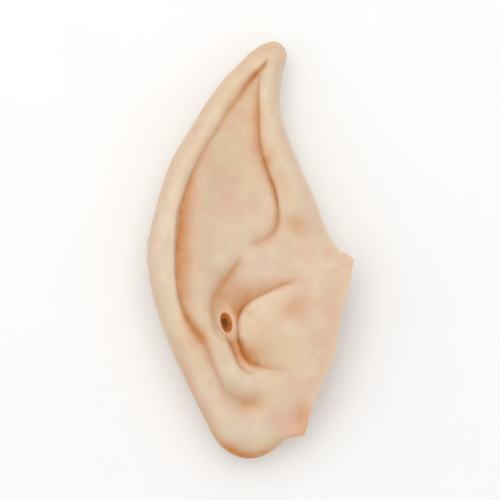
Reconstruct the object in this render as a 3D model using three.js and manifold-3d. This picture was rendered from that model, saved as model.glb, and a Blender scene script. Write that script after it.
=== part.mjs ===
// A slip-on elf ear, cast in one piece of latex: a thin hollow shell with a modelled face, a plain back,
// a long opening on the head side for the wearer's own ear, and a small sound hole through the face.
// It lies on its back. X runs from the rear rim to the cheek flap, Y from the lobe to the tip, Z up
// through the face. Lengths are in millimetres, and the origin is under the middle of the outline.

import * as THREE from "three";
import { mergeVertices } from "three/addons/utils/BufferGeometryUtils.js";
import Module from "manifold-3d";

const wasm = await Module();
wasm.setup();

// Driving dimensions

const EAR_LENGTH = 144.5; // lobe to tip
const EAR_WIDTH = 71; // rear rim to the upper corner of the cheek flap
const EAR_DEPTH = 25; // the surface it lies on to the crown of the rim
const WALL = 1.5; // the cast skin
const FOLD_DEPTH = 6; // the deepest fold of the face
const FOLD_SPREAD = 5; // how far a soft fold's slope reaches
const SWELL_HEIGHT = 3; // the highest swelling of the face
const REAR_ROUNDING = 6.5; // how far the rear rim takes to round over into the face
const FRONT_ROUNDING = 6; // the same for the closed stretch of the front rim
const FLAP_SLOPE = 14; // how far the cheek flap takes to fall to its cut edge
const BACK_ROUNDING = 15; // how far the rims take to round under into the back
const OPENING_BOW = 14; // how far the back is cut away behind a straight line between the opening's ends
const OPENING_EASE = 3; // how soon the closed rim gives way to the flap, next to the opening's ends
const SOUND_HOLE_WIDTH = 4.4;
const SOUND_HOLE_LENGTH = 8;
const SOUND_HOLE_LEAN = 9; // degrees, its top towards the rear
const LIP_WIDTH = 0.9; // the raised lip round the sound hole
const LIP_HEIGHT = 0.5;
const SEAT_REACH = 1.1; // how far the face is levelled round the sound hole

// Places along the ear, as shares of its length

const TIP_CAP = 0.96; // where the tip starts to close
const LOBE_CAP = 0.043; // where the lobe starts to close
const UPPER_CORNER = 0.476; // the two corners of the cheek flap
const LOWER_CORNER = 0.064;
const OPENING_TOP = 0.507; // the two ends of the opening, just past those corners
const OPENING_FOOT = LOBE_CAP;

// Sections across the ear, from the tip to the lobe. along is a share of the length, rear and front are the
// outline as shares of the width, and the rest are heights as shares of the depth: the crown of the rear rim,
// the basin inside it, the brow along the front, the front edge, the rear rim's outermost line and the back.

const SECTION_COLUMNS = ["along", "rear", "front", "crown", "basin", "brow", "edge", "rim", "back"];
const SECTIONS = table(SECTION_COLUMNS, [
  [1.0, 0.518, 0.711, 0.54, 0.54, 0.53, 0.33, 0.33, 0.22],
  [0.96, 0.477, 0.68, 0.57, 0.55, 0.56, 0.335, 0.335, 0.17],
  [0.915, 0.38, 0.655, 0.64, 0.56, 0.616, 0.35, 0.35, 0.105],
  [0.853, 0.289, 0.646, 0.735, 0.615, 0.7, 0.37, 0.37, 0.056],
  [0.791, 0.211, 0.673, 0.815, 0.67, 0.776, 0.39, 0.39, 0.02],
  [0.708, 0.113, 0.736, 0.895, 0.735, 0.848, 0.43, 0.416, 0],
  [0.625, 0.056, 0.81, 0.96, 0.79, 0.896, 0.52, 0.44, 0],
  [0.542, 0.014, 0.873, 0.99, 0.84, 0.904, 0.62, 0.456, 0],
  [0.507, 0.0, 0.919, 1.0, 0.85, 0.89, 0.68, 0.46, 0],
  [0.476, 0.0, 1.0, 1.0, 0.856, 0.88, 0.74, 0.464, 0],
  [0.417, 0.018, 0.975, 1.0, 0.856, 0.88, 0.76, 0.464, 0],
  [0.334, 0.063, 0.933, 0.985, 0.832, 0.88, 0.77, 0.456, 0],
  [0.251, 0.129, 0.905, 0.945, 0.8, 0.864, 0.75, 0.44, 0],
  [0.168, 0.208, 0.831, 0.88, 0.76, 0.8, 0.71, 0.416, 0],
  [0.106, 0.27, 0.789, 0.785, 0.72, 0.736, 0.65, 0.392, 0.05],
  [0.064, 0.312, 0.768, 0.705, 0.68, 0.68, 0.62, 0.368, 0.1],
  [0.0585, 0.318, 0.708, 0.695, 0.675, 0.672, 0.6, 0.366, 0.105],
  [0.043, 0.338, 0.658, 0.655, 0.64, 0.64, 0.5, 0.36, 0.13],
  [0.0, 0.38, 0.613, 0.58, 0.56, 0.55, 0.34, 0.34, 0.22],
]);
const CORNERS = [UPPER_CORNER, LOWER_CORNER];

// Folds of the face, each a soft-sided groove along a path. across and along are shares of the width and the
// length, depth is a share of FOLD_DEPTH, and left and right are how far its two slopes reach, as shares of
// FOLD_SPREAD, seen by someone who walks the path.

const FOLD_COLUMNS = ["across", "along", "depth", "left", "right"];
const FOLDS = {
  helix: table(FOLD_COLUMNS, [
    [0.592, 0.96, 0, 0.3, 0.3],
    [0.486, 0.891, 0.52, 0.35, 0.25],
    [0.317, 0.77, 0.24, 0.5, 0.3],
    [0.176, 0.632, 0.62, 0.8, 0.1],
    [0.144, 0.5, 0.84, 0.9, 0.08],
    [0.197, 0.337, 0.7, 0.8, 0.1],
    [0.275, 0.285, 0.62, 0.5, 0.2],
    [0.345, 0.206, 0.32, 0.6, 0.25],
    [0.423, 0.144, 0.32, 0.5, 0.5],
    [0.563, 0.137, 0, 0.5, 0.6],
  ]),
  brow: table(FOLD_COLUMNS, [
    [0.556, 0.94, 0, 0.1, 0.3],
    [0.535, 0.881, 0.42, 0.1, 0.35],
    [0.538, 0.78, 0.56, 0.08, 0.6],
    [0.585, 0.69, 0.5, 0.08, 0.6],
    [0.641, 0.597, 0.48, 0.08, 0.5],
    [0.613, 0.542, 0.36, 0.2, 0.5],
    [0.486, 0.507, 0, 0.4, 0.5],
  ]),
  concha: table(FOLD_COLUMNS, [
    [0.458, 0.483, 0, 0.5, 0.4],
    [0.387, 0.434, 0.4, 0.6, 0.3],
    [0.317, 0.379, 0.5, 0.7, 0.25],
    [0.338, 0.32, 0.5, 0.5, 0.2],
    [0.423, 0.247, 0.54, 0.4, 0.12],
    [0.486, 0.215, 0.28, 0.4, 0.2],
    [0.57, 0.206, 0, 0.4, 0.3],
  ]),
  tragus: table(FOLD_COLUMNS, [
    [0.768, 0.445, 0, 0.3, 0.6],
    [0.634, 0.413, 0.56, 0.16, 0.6],
    [0.5, 0.372, 0.86, 0.14, 0.6],
    [0.444, 0.327, 0.96, 0.1, 0.4],
    [0.462, 0.265, 0.8, 0.24, 0.3],
    [0.535, 0.227, 0.5, 0.5, 0.3],
    [0.704, 0.227, 0, 0.6, 0.4],
  ]),
};

// Soft swellings and hollows of the face. across and along place the middle, wide and long are its reach as
// shares of the width and the length, lean turns it by degrees, and height is a share of SWELL_HEIGHT.

const SWELL_COLUMNS = ["across", "along", "wide", "long", "lean", "height"];
const SWELLS = table(SWELL_COLUMNS, [
  [0.345, 0.652, 0.18, 0.18, -20, -0.35], // the upper basin
  [0.472, 0.562, 0.13, 0.06, 0, 0.27], // a pillow above the ridge
  [0.423, 0.375, 0.11, 0.06, -20, -1.0], // the bowl of the concha
  [0.627, 0.33, 0.17, 0.083, 0, 0.83], // the tragus
  [0.725, 0.369, 0.07, 0.042, 20, -0.35], // a dent on the tragus
  [0.282, 0.365, 0.07, 0.14, 8, 0.4], // the ridge behind the concha
  [0.437, 0.206, 0.13, 0.028, -20, 0.4], // the ridge below the concha
  [0.514, 0.14, 0.085, 0.024, 0, -0.47], // a hollow above the lobe
  [0.458, 0.085, 0.14, 0.042, 0, 0.27], // the pad of the lobe
  [0.746, 0.106, 0.042, 0.035, -10, -0.6], // a dimple by the lower corner
  [0.732, 0.555, 0.07, 0.028, -30, -0.27], // a dimple by the brow
]);

// The sound hole's middle, and the height of its seat as a share of the depth

const SOUND_HOLE = { across: 0.387, along: 0.329, height: 0.71 };

// The mesh: steps between the guide lines that its columns follow, and steps between rows of each stretch

const OUTER_STEPS = { face: [8, 10, 9, 8], back: 10 }; // face: rear rim, helix fold, tragus, brow, front
const INNER_STEPS = { face: [5, 6, 6, 5], back: 8 };
const ROW_STEPS = { tip: 4, upper: 24, upperCorner: 3, flap: 26, lowerCorner: 3, lobe: 4 };
const GUIDE_LIMITS = { helix: [0.05, 0.4], tragus: [0.42, 0.58], brow: [0.6, 0.76] }; // shares of a section
const GUIDE_LINES = Object.keys(GUIDE_LIMITS);
const HOLE_SIDES = 24;
const CROWDING = 0.7; // how far the columns crowd towards the guide lines
const PATH_STEPS = 10; // steps of a fold's path between two of its points
const FOLD_SOFTNESS = 0.15; // rounds the bottom of a fold
const SMALLEST = 1e-6; // keeps the shares of a section finite at its two end points
const FACE_BANDS = { crown: 0.1, basin: [0.45, 0.5], brow: 0.86 }; // where each height holds across a section

function table(columns, rows) {
  return rows.map((row) => Object.fromEntries(columns.map((name, i) => [name, row[i]])));
}

const clamp = THREE.MathUtils.clamp;
const mix = THREE.MathUtils.lerp;
const smooth = (low, high, value) => THREE.MathUtils.smoothstep(value, low, high);
const round = (share) => Math.sqrt(Math.max(0, 1 - (1 - clamp(share, 0, 1)) ** 2)); // a quarter circle

// A section column at a place along the ear, on a cubic that never overshoots and breaks at the corners.
function section(name, along) {
  let i = SECTIONS.findIndex((row) => row.along <= along);
  i = clamp(i < 0 ? SECTIONS.length - 1 : i, 1, SECTIONS.length - 1);
  const [from, to] = [SECTIONS[i - 1], SECTIONS[i]];
  const run = to.along - from.along;
  const t = clamp((along - from.along) / run, 0, 1);
  const ends = [slope(name, i - 1, i), slope(name, i, i)];
  const bend = run * (t * (1 - t) ** 2 * ends[0] - t * t * (1 - t) * ends[1]);
  return mix(from[name], to[name], t * t * (3 - 2 * t)) + bend;
}

// The slope of a section column at a row, seen from the span that ends at row `span`.
function slope(name, row, span) {
  const rise = (i) => (SECTIONS[i][name] - SECTIONS[i - 1][name]) / (SECTIONS[i].along - SECTIONS[i - 1].along);
  const isBreak = row === 0 || row === SECTIONS.length - 1 || CORNERS.includes(SECTIONS[row].along);
  if (isBreak) return rise(span);
  const [before, after] = [rise(row), rise(row + 1)];
  return before * after <= 0 ? 0 : (2 * before * after) / (before + after);
}

// A fold in millimetres, as short straight steps of a curve through its points. Its place follows a
// Catmull-Rom curve, and its depth and slopes ease from point to point, so that no step overshoots.
function foldPath(points) {
  const last = points.length - 1;
  const at = (i, name) => points[clamp(i, 0, last)][name];
  const place = (i, t, name) => {
    const [a, b, c, d] = [at(i - 1, name), at(i, name), at(i + 1, name), at(i + 2, name)];
    return b + ((3 * (b - c) + d - a) * t ** 3 + (2 * a - 5 * b + 4 * c - d) * t * t + (c - a) * t) / 2;
  };
  const ease = (i, t, name) => mix(at(i, name), at(i + 1, name), smooth(0, 1, t));
  return Array.from({ length: last * PATH_STEPS + 1 }, (_, k) => {
    const [i, t] = [Math.floor(k / PATH_STEPS), (k % PATH_STEPS) / PATH_STEPS];
    return {
      across: place(i, t, "across") * EAR_WIDTH,
      along: place(i, t, "along") * EAR_LENGTH,
      depth: ease(i, t, "depth") * FOLD_DEPTH,
      left: ease(i, t, "left") * FOLD_SPREAD,
      right: ease(i, t, "right") * FOLD_SPREAD,
    };
  });
}
const PATHS = Object.fromEntries(Object.entries(FOLDS).map(([name, points]) => [name, foldPath(points)]));

// How far a fold sinks the face at (x, y). A wider fold, for the inner skin, keeps the wall's thickness.
function foldSink(path, x, y, widening) {
  let best = { gap: Infinity };
  for (let i = 1; i < path.length; i++) {
    const [p, q] = [path[i - 1], path[i]];
    const [dx, dy] = [q.across - p.across, q.along - p.along];
    const t = clamp(((x - p.across) * dx + (y - p.along) * dy) / (dx * dx + dy * dy), 0, 1);
    const gap = Math.hypot(x - p.across - t * dx, y - p.along - t * dy);
    if (gap < best.gap) {
      const side = dx * (y - p.along) - dy * (x - p.across) > 0 ? "left" : "right";
      best = { gap, depth: mix(p.depth, q.depth, t), reach: mix(p[side], q[side], t) };
    }
  }
  const gap = Math.max(0, best.gap - widening);
  return best.depth * Math.exp((FOLD_SOFTNESS - Math.hypot(gap, FOLD_SOFTNESS)) / best.reach);
}

// The height that a swelling adds at (x, y).
function swellRise(swell, x, y) {
  const lean = THREE.MathUtils.degToRad(swell.lean);
  const [dx, dy] = [x - swell.across * EAR_WIDTH, y - swell.along * EAR_LENGTH];
  const u = (dx * Math.cos(lean) + dy * Math.sin(lean)) / (swell.wide * EAR_WIDTH);
  const v = (dy * Math.cos(lean) - dx * Math.sin(lean)) / (swell.long * EAR_LENGTH);
  return swell.height * SWELL_HEIGHT * Math.exp(-u * u - v * v);
}

// 1 along the opening, easing to 0 at its ends and beyond them.
function openness(y) {
  const gap = Math.min(OPENING_TOP * EAR_LENGTH - y, y - OPENING_FOOT * EAR_LENGTH);
  return smooth(0, OPENING_EASE, gap);
}

// 1 along the body of the ear, falling on a quarter circle to 0 at the tip and at the end of the lobe.
function closing(y, inset) {
  const tip = (EAR_LENGTH - inset - y) / (EAR_LENGTH * (1 - TIP_CAP) - inset);
  const lobe = (y - inset) / (EAR_LENGTH * LOBE_CAP - inset);
  return round(tip) * round(lobe);
}

// The rear and front of the section at y, set in by `inset`, also from the steps of the outline just beyond y,
// wherever the skin closes on itself. Along the opening the front of both skins is the flap's cut edge.
function outline(y, inset) {
  const near = (name) => [-inset, 0, inset].map((shift) => section(name, (y + shift) / EAR_LENGTH) * EAR_WIDTH);
  const rear = Math.max(...near("rear")) + inset;
  const front = mix(Math.min(...near("front")) - inset, near("front")[1], openness(y));
  const middle = (rear + front) / 2;
  const width = closing(y, inset);
  return { rear: mix(middle, rear, width), front: mix(middle, front, width) };
}

// The heights of the section at y, the skins' crests lowered and the back raised by `inset`.
function heights(y, inset) {
  const along = y / EAR_LENGTH;
  const [rim, edge] = [section("rim", along) * EAR_DEPTH, section("edge", along) * EAR_DEPTH];
  const width = closing(y, inset);
  const crest = (name) => mix(rim, section(name, along) * EAR_DEPTH - inset, width);
  return {
    rim,
    edge: edge - inset * openness(y),
    crown: crest("crown"),
    basin: crest("basin"),
    brow: crest("brow"),
    back: mix(rim, section("back", along) * EAR_DEPTH + inset, width),
  };
}

// 0 inside the sound hole's edge, 1 at the end of its seat.
function soundHoleReach(x, y) {
  const lean = THREE.MathUtils.degToRad(SOUND_HOLE_LEAN);
  const [dx, dy] = [x - SOUND_HOLE.across * EAR_WIDTH, y - SOUND_HOLE.along * EAR_LENGTH];
  const u = dx * Math.cos(lean) + dy * Math.sin(lean);
  const v = dy * Math.cos(lean) - dx * Math.sin(lean);
  const share = Math.hypot(u / (SOUND_HOLE_WIDTH / 2), v / (SOUND_HOLE_LENGTH / 2));
  const gap = Math.hypot(u, v) * (1 - 1 / Math.max(share, 1));
  return smooth(LIP_WIDTH, LIP_WIDTH + SEAT_REACH, gap);
}

// The face's height at (x, y): its broad form, less its folds, with its swellings and the sound hole's seat.
function faceHeight(x, y, inset) {
  const { rear, front } = outline(y, inset);
  const high = heights(y, inset);
  const across = (x - rear) / Math.max(front - rear, SMALLEST);
  const toBasin = smooth(FACE_BANDS.crown, FACE_BANDS.basin[0], across);
  const toBrow = smooth(FACE_BANDS.basin[1], FACE_BANDS.brow, across);
  let z = mix(mix(high.crown, high.basin, toBasin), high.brow, toBrow);
  for (const path of Object.values(PATHS)) z -= foldSink(path, x, y, inset);
  for (const swell of SWELLS) z += swellRise(swell, x, y);
  z = mix(SOUND_HOLE.height * EAR_DEPTH - inset, z, soundHoleReach(x, y));
  const half = Math.max((front - rear) / 2, SMALLEST);
  const rearRise = round((x - rear) / Math.min(REAR_ROUNDING - inset, half));
  const open = openness(y);
  const frontReach = Math.min(mix(FRONT_ROUNDING - inset, FLAP_SLOPE, open), half);
  const frontRise = round((front - x) / frontReach) ** (1 + open);
  return mix(high.edge, mix(high.rim, z, rearRise), frontRise);
}

// The back's height at (x, y): level where it lies, and rounding up to both rims.
function backHeight(x, y, inset) {
  const { rear, front } = outline(y, inset);
  const high = heights(y, inset);
  const reach = Math.max(Math.min(BACK_ROUNDING - inset, (front - rear) / 2), SMALLEST);
  const rearRise = 1 - round((x - rear) / reach);
  const frontRise = 1 - round((front - x) / reach);
  const edge = section("edge", y / EAR_LENGTH) * EAR_DEPTH;
  return high.back + (high.rim - high.back) * rearRise + (edge - high.back) * frontRise;
}

// Where the back ends at y: at the front of the section, or along the opening at its cut edge, which bows
// away behind the straight line between the opening's ends.
function backEnd(y, front) {
  const share = (y / EAR_LENGTH - OPENING_FOOT) / (OPENING_TOP - OPENING_FOOT);
  if (share <= 0 || share >= 1) return front;
  const straight = mix(section("front", OPENING_FOOT), section("front", OPENING_TOP), share) * EAR_WIDTH;
  return Math.min(front, straight - OPENING_BOW * 4 * share * (1 - share));
}

// The guide lines of the section at y: both outlines, and the folds between them kept in order.
function guides(y, inset) {
  const { rear, front } = outline(y, inset);
  const line = (name) => {
    const [low, high] = GUIDE_LIMITS[name].map((share) => mix(rear, front, share));
    const path = PATHS[name];
    const i = clamp(path.findIndex((point) => point.along <= y), 1, path.length - 1);
    const below = y < path.at(-1).along ? path.length - 1 : i;
    const [from, to] = [path[below - 1], path[below]];
    const t = clamp((y - from.along) / Math.min(to.along - from.along, -SMALLEST), 0, 1);
    return clamp(mix(from.across, to.across, t), low, high);
  };
  return [rear, ...GUIDE_LINES.map(line), front];
}

// Shares from 0 to 1, somewhat closer together at both ends.
function eased(steps) {
  return Array.from({ length: steps + 1 }, (_, k) => {
    const even = k / steps;
    return mix(even, (1 - Math.cos(Math.PI * even)) / 2, CROWDING);
  });
}

// One ring of a skin at y: over the face from front to rear, then under the back to the front.
function ring(y, inset, skinSteps) {
  const lines = guides(y, inset);
  const face = skinSteps.face.flatMap((steps, i) => {
    const places = eased(steps).map((share) => mix(lines[i], lines[i + 1], share));
    return i ? places.slice(1) : places;
  });
  const [rear, front] = [lines[0], lines.at(-1)];
  const end = backEnd(y, front);
  const back = eased(skinSteps.back).slice(1).map((share) => mix(rear, end, share));
  return [
    ...face.reverse().map((x) => new THREE.Vector3(x, y, faceHeight(x, y, inset))),
    ...back.map((x) => new THREE.Vector3(x, y, backHeight(x, y, inset))),
  ];
}

// The rows' places along the ear, from the tip to the lobe; both ends are single points.
function rows(inset) {
  const quarter = (steps) => Array.from({ length: steps }, (_, k) => Math.sin((Math.PI / 2) * ((k + 1) / steps)));
  const even = (from, to, steps) => Array.from({ length: steps }, (_, k) => mix(from, to, k / steps) * EAR_LENGTH);
  return [
    ...quarter(ROW_STEPS.tip).reverse().map((share) => mix(TIP_CAP * EAR_LENGTH, EAR_LENGTH - inset, share)),
    ...even(TIP_CAP, OPENING_TOP, ROW_STEPS.upper),
    ...even(OPENING_TOP, UPPER_CORNER, ROW_STEPS.upperCorner),
    ...even(UPPER_CORNER, LOWER_CORNER, ROW_STEPS.flap),
    ...even(LOWER_CORNER, OPENING_FOOT, ROW_STEPS.lowerCorner),
    LOBE_CAP * EAR_LENGTH,
    ...quarter(ROW_STEPS.lobe).map((share) => mix(LOBE_CAP * EAR_LENGTH, inset, share)),
  ];
}

// Both skins and the cut edge between them, as one closed geometry.
function shellGeometry() {
  const points = [];
  const faces = [];
  const skin = (inset, skinSteps) => {
    const start = points.length;
    const rings = rows(inset).map((y) => ring(y, inset, skinSteps));
    points.push(...rings.flat());
    return { start, end: rings.length - 1, last: rings[0].length - 1 };
  };
  const outer = skin(0, OUTER_STEPS);
  const inner = skin(WALL, INNER_STEPS);
  const firstOpen = ROW_STEPS.tip + ROW_STEPS.upper;
  const lastOpen = firstOpen + ROW_STEPS.upperCorner + ROW_STEPS.flap + ROW_STEPS.lowerCorner;
  const at = ({ start, end, last }, row, column) => {
    const isPoint = row === 0 || row === end;
    const isWelded = column === last && (row <= firstOpen || row >= lastOpen);
    return start + row * (last + 1) + (isPoint || isWelded ? 0 : column);
  };
  const quad = (a, b, c, d) => {
    if (a !== b && b !== c && a !== c) faces.push(a, b, c);
    if (a !== c && c !== d && a !== d) faces.push(a, c, d);
  };
  for (let row = 0; row < outer.end; row++) {
    for (let k = 0; k < outer.last; k++) {
      quad(at(outer, row, k), at(outer, row, k + 1), at(outer, row + 1, k + 1), at(outer, row + 1, k));
    }
    for (let k = 0; k < inner.last; k++) {
      quad(at(inner, row, k), at(inner, row + 1, k), at(inner, row + 1, k + 1), at(inner, row, k + 1));
    }
  }
  for (let row = firstOpen; row < lastOpen; row++) {
    quad(at(outer, row, 0), at(outer, row + 1, 0), at(inner, row + 1, 0), at(inner, row, 0));
    quad(
      at(outer, row + 1, outer.last),
      at(outer, row, outer.last),
      at(inner, row, inner.last),
      at(inner, row + 1, inner.last),
    );
  }
  const geometry = new THREE.BufferGeometry().setFromPoints(points);
  geometry.setIndex(faces);
  return geometry;
}

// A closed three.js geometry as a solid.
function solid(geometry) {
  const bare = geometry.clone();
  bare.deleteAttribute("normal");
  bare.deleteAttribute("uv");
  const merged = mergeVertices(bare, 1e-5);
  return new wasm.Manifold(
    new wasm.Mesh({
      numProp: 3,
      vertProperties: new Float32Array(merged.attributes.position.array),
      triVerts: new Uint32Array(merged.index.array),
    }),
  );
}

// A solid as a three.js geometry.
function geometryOf(shape) {
  const mesh = shape.getMesh();
  const geometry = new THREE.BufferGeometry();
  geometry.setAttribute("position", new THREE.BufferAttribute(new Float32Array(mesh.vertProperties), 3));
  geometry.setIndex(new THREE.BufferAttribute(new Uint32Array(mesh.triVerts), 1));
  geometry.computeVertexNormals();
  return geometry;
}

// An upright round shape of radius 1, made oval `extra` beyond the sound hole, leaned and moved onto it.
function onSoundHole(geometry, extra) {
  return solid(
    geometry
      .rotateX(Math.PI / 2)
      .scale(SOUND_HOLE_WIDTH / 2 + extra, SOUND_HOLE_LENGTH / 2 + extra, 1)
      .rotateZ(THREE.MathUtils.degToRad(SOUND_HOLE_LEAN))
      .translate(SOUND_HOLE.across * EAR_WIDTH, SOUND_HOLE.along * EAR_LENGTH, SOUND_HOLE.height * EAR_DEPTH),
  );
}

// The shell with a raised lip round its sound hole, and the hole cut through both.
function earShell() {
  const lipProfile = [
    [0, -WALL / 2],
    [1, -WALL / 2],
    [1, LIP_HEIGHT / 2],
    [0.9, LIP_HEIGHT],
    [0, LIP_HEIGHT],
  ].map(([x, y]) => new THREE.Vector2(x, y));
  const lip = onSoundHole(new THREE.LatheGeometry(lipProfile, HOLE_SIDES), LIP_WIDTH);
  const hole = onSoundHole(new THREE.CylinderGeometry(1, 1, EAR_DEPTH / 2, HOLE_SIDES), 0);
  return solid(shellGeometry()).add(lip).subtract(hole);
}

const latex = new THREE.MeshStandardMaterial({ color: 0xe4c7a6, roughness: 0.6, metalness: 0 });
const shell = new THREE.Mesh(geometryOf(earShell()), latex);
shell.name = "ear_shell";
shell.position.set(-EAR_WIDTH / 2, -EAR_LENGTH / 2, 0);

const ear = new THREE.Group();
ear.add(shell);

export default ear;
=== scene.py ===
# %% [markdown]
# # A slip-on elf ear of cast latex
#
# The real thing is one soft casting. A sculptor models the ear, a mould is made of it, and latex is poured in
# and out again, so that a thin skin is left. Its folds are then shaded with an airbrush. In this lesson the
# casting is one closed surface worked out with numpy, and the airbrush is a number stored at each point.
#
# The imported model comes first. It is the frame: it says how big the ear is and where it lies.

# %% Load the frame
import bpy
import numpy as np
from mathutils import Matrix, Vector


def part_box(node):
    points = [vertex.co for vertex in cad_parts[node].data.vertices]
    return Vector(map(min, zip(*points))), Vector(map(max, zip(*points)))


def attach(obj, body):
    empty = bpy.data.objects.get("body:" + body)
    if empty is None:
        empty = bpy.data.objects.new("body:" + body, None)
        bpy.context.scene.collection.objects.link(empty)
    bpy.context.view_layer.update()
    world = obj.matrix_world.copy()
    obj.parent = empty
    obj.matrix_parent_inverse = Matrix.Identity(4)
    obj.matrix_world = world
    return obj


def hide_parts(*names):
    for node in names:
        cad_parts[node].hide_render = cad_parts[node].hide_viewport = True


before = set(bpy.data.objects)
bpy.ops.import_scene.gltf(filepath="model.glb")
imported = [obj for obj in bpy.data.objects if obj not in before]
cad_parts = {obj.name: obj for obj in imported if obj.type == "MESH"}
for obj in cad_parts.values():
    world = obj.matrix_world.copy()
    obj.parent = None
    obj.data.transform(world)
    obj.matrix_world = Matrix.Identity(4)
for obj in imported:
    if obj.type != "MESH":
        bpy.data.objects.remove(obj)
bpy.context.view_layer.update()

# %% [markdown]
# ## Sizes
#
# All the forms below are worked out in millimetres, from the rear lower corner of the ear's box, and moved to
# the frame's own place at the end. The width and the length come from the frame. The depth is that of the
# sculpted form before its edges are rounded, and the wall is the skin that the latex leaves in the mould.

# %% Driving sizes, in millimetres
MM = 0.001
ear_low, ear_high = (np.array(corner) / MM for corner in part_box("ear_shell"))
WIDTH, LENGTH = (ear_high - ear_low)[:2]
DEPTH = 25.0
WALL = 1.5
FOLD_DEPTH = 5.6
FOLD_SPREAD = 5.0
SWELL_HEIGHT = 3.0
print(f"the ear is {WIDTH:.1f} x {LENGTH:.1f} mm, and {ear_high[2] - ear_low[2]:.1f} mm deep")

# %% [markdown]
# ## The body as a table of sections
#
# A form like this is hard to draw as one formula, but easy to cut into slices. Each row below is one slice
# across the ear, from the tip down to the lobe. `rear` and `front` say where its outline lies, and the other
# columns are heights: the crown of the rolled rim, the basin inside it, the brow along the front, the front
# edge, the outermost line of the rim, and the back. All are shares of the width, the length or the depth.

# %% The sections
def table(columns, rows):
    """Rows of numbers as one array for each named column."""
    return dict(zip(columns.split(), np.array(rows, float).T))


SECTIONS = table("along rear front crown basin brow edge rim back", [
    [0.0, 0.38, 0.613, 0.58, 0.56, 0.55, 0.34, 0.34, 0.22],
    [0.043, 0.338, 0.658, 0.655, 0.64, 0.64, 0.5, 0.36, 0.13],
    [0.0585, 0.318, 0.708, 0.695, 0.675, 0.672, 0.6, 0.366, 0.105],
    [0.064, 0.312, 0.768, 0.705, 0.68, 0.68, 0.62, 0.368, 0.1],
    [0.106, 0.27, 0.789, 0.785, 0.72, 0.736, 0.65, 0.392, 0.05],
    [0.168, 0.208, 0.831, 0.88, 0.76, 0.8, 0.71, 0.416, 0],
    [0.251, 0.129, 0.905, 0.945, 0.8, 0.864, 0.75, 0.44, 0],
    [0.334, 0.063, 0.933, 0.985, 0.832, 0.88, 0.77, 0.456, 0],
    [0.417, 0.018, 0.975, 1.0, 0.856, 0.88, 0.76, 0.464, 0],
    [0.476, 0.0, 1.0, 1.0, 0.856, 0.88, 0.74, 0.464, 0],
    [0.507, 0.0, 0.919, 1.0, 0.85, 0.89, 0.68, 0.46, 0],
    [0.542, 0.014, 0.873, 0.99, 0.84, 0.904, 0.62, 0.456, 0],
    [0.625, 0.056, 0.81, 0.96, 0.8, 0.896, 0.52, 0.44, 0],
    [0.708, 0.113, 0.736, 0.895, 0.785, 0.855, 0.43, 0.416, 0],
    [0.791, 0.211, 0.673, 0.815, 0.74, 0.79, 0.39, 0.39, 0.02],
    [0.853, 0.289, 0.646, 0.735, 0.682, 0.715, 0.37, 0.37, 0.056],
    [0.915, 0.383, 0.655, 0.65, 0.615, 0.635, 0.35, 0.35, 0.105],
    [0.96, 0.473, 0.68, 0.585, 0.57, 0.575, 0.335, 0.335, 0.17],
    [1.0, 0.54, 0.69, 0.54, 0.54, 0.53, 0.33, 0.33, 0.22],
])
TIP_CAP, LOBE_CAP = 0.96, 0.043
UPPER_CORNER, LOWER_CORNER = 0.476, 0.064
OPENING_TOP, OPENING_FOOT = 0.507, LOBE_CAP
print(len(SECTIONS["along"]), "sections")

# %% [markdown]
# Between two slices every column runs on a cubic. Its slope at a row is the harmonic mean of the rises on
# both sides, which never overshoots, so no bump appears that the table doesn't hold. At the two sharp corners
# of the cheek flap the slope is allowed to break.

# %% Smooth columns
def mix(a, b, share):
    """a at share 0, b at share 1."""
    return a + (b - a) * share


def smooth(low, high, value):
    """0 below low, 1 above high, and an S between them: t * t * (3 - 2 t)."""
    t = np.clip((value - low) / (high - low), 0, 1)
    return t * t * (3 - 2 * t)


def quarter(share):
    """A quarter circle from 0 to 1: the root of 1 - (1 - share) squared."""
    return np.sqrt(1 - (1 - np.clip(share, 0, 1)) ** 2)


def slopes(name):
    """The slope of a column at the start and the end of each span between two rows."""
    places, values = SECTIONS["along"], SECTIONS[name]
    rise = np.diff(values) / np.diff(places)
    product, total = rise[:-1] * rise[1:], rise[:-1] + rise[1:]
    between = np.where(product > 0, 2 * product / np.where(product > 0, total, 1), 0)
    is_corner = np.isin(places[1:-1], [UPPER_CORNER, LOWER_CORNER])
    start = np.append(rise[0], np.where(is_corner, rise[1:], between))
    end = np.append(np.where(is_corner, rise[:-1], between), rise[-1])
    return start, end


SLOPES = {name: slopes(name) for name in SECTIONS}


def section(name, y):
    """A column at y: the two rows blended by an S curve, plus what the slopes at both rows bend it by."""
    places, values = SECTIONS["along"], SECTIONS[name]
    along = np.asarray(y) / LENGTH
    i = np.clip(np.searchsorted(places, along) - 1, 0, len(places) - 2)
    run = places[i + 1] - places[i]
    t = np.clip((along - places[i]) / run, 0, 1)
    start, end = SLOPES[name]
    bend = run * (t * (1 - t) ** 2 * start[i] - t * t * (1 - t) * end[i])
    return mix(values[i], values[i + 1], t * t * (3 - 2 * t)) + bend


print("the crown is highest at", f"{SECTIONS['along'][SECTIONS['crown'].argmax()] * LENGTH:.0f} mm up")

# %% [markdown]
# ## The folds
#
# The face of an ear is made of grooves: one inside the rolled rim, one behind the brow, one round the bowl of
# the concha, and one that undercuts the tragus. Each groove is a path with a depth, and with two slopes that
# may differ: a crisp side looks like a cut, and a soft side like a roll. The columns `left` and `right` are
# seen by someone who walks down the path. Depths are shares of the deepest fold, slopes of the widest reach,
# and `soft` says in millimetres how round the bottom is.

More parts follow.
